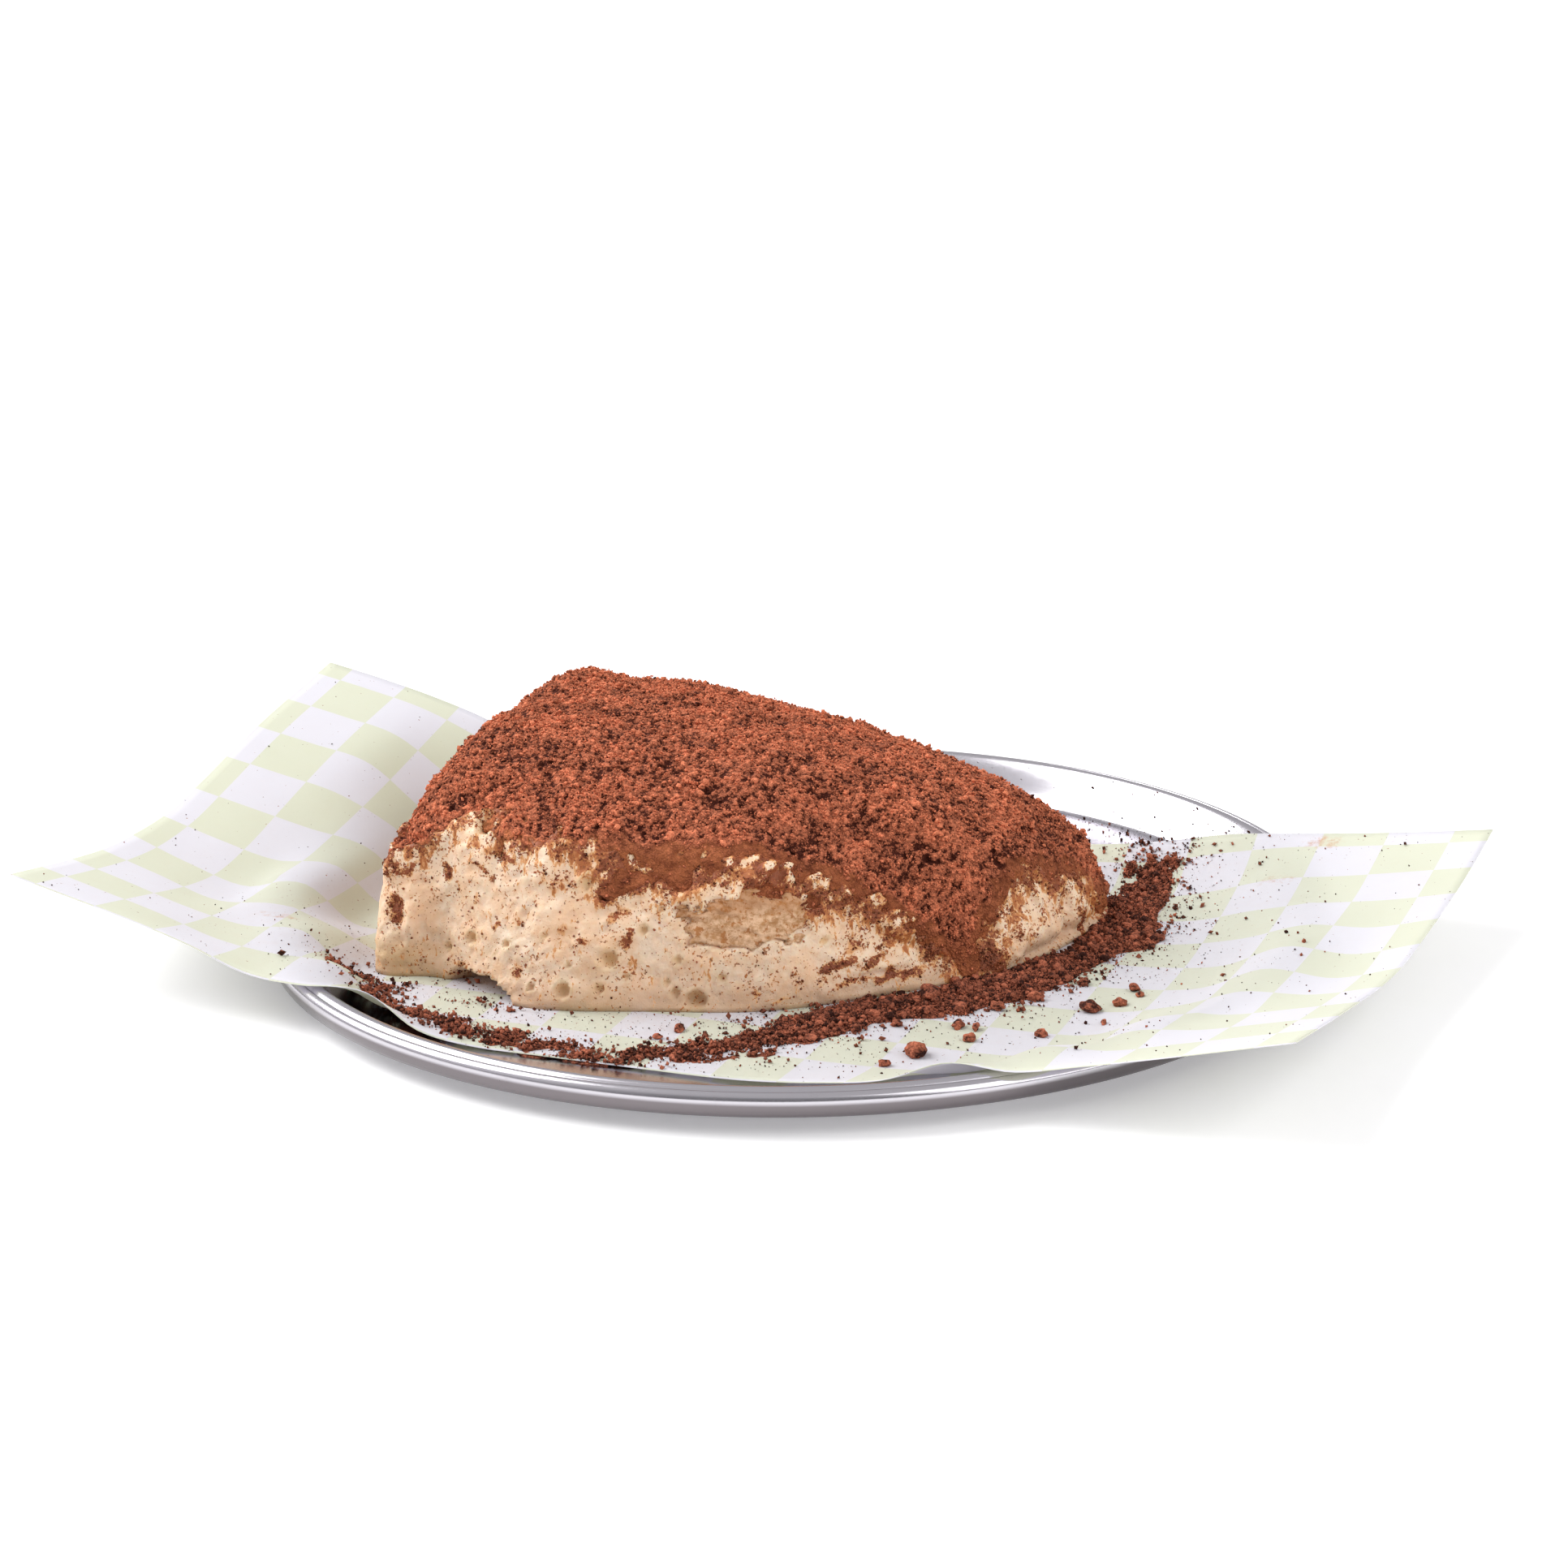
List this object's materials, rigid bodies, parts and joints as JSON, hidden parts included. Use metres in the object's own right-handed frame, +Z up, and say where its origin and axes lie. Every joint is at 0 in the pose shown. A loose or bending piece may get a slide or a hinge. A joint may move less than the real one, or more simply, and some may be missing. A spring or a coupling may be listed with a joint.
{
  "type": "tiramisu slice served on checked paper in a round steel plate",
  "caption": "Slumped slice of layered coffee dessert under a cocoa layer, on a checked paper liner in a shallow round steel plate with a rolled rim.",
  "frame": {"origin": "centre of the plate's flat underside", "axes": "+X to the right along the width of the serving as it is looked at, +Y away from the viewer, +Z up"},
  "size_m": [0.2796, 0.2174, 0.0446],
  "materials": {
    "steel": "polished stainless steel, faintly brushed",
    "paper": "smooth greaseproof paper printed with pale green checks",
    "cream": "moist whipped mascarpone cream",
    "sponge": "cut sponge finger, open crumb",
    "soaked_sponge": "coffee-soaked sponge finger, damp",
    "cocoa": "loose matte cocoa powder in clumps"
  },
  "bodies": {
    "root": {"plate": "steel", "paper": "paper", "cream": "cream", "ladyfinger_upper": "sponge", "ladyfinger_lower_left": "soaked_sponge", "ladyfinger_lower_right": "soaked_sponge", "cocoa_cap": "cocoa", "cocoa_bank": "cocoa"}
  },
  "joints": []
}
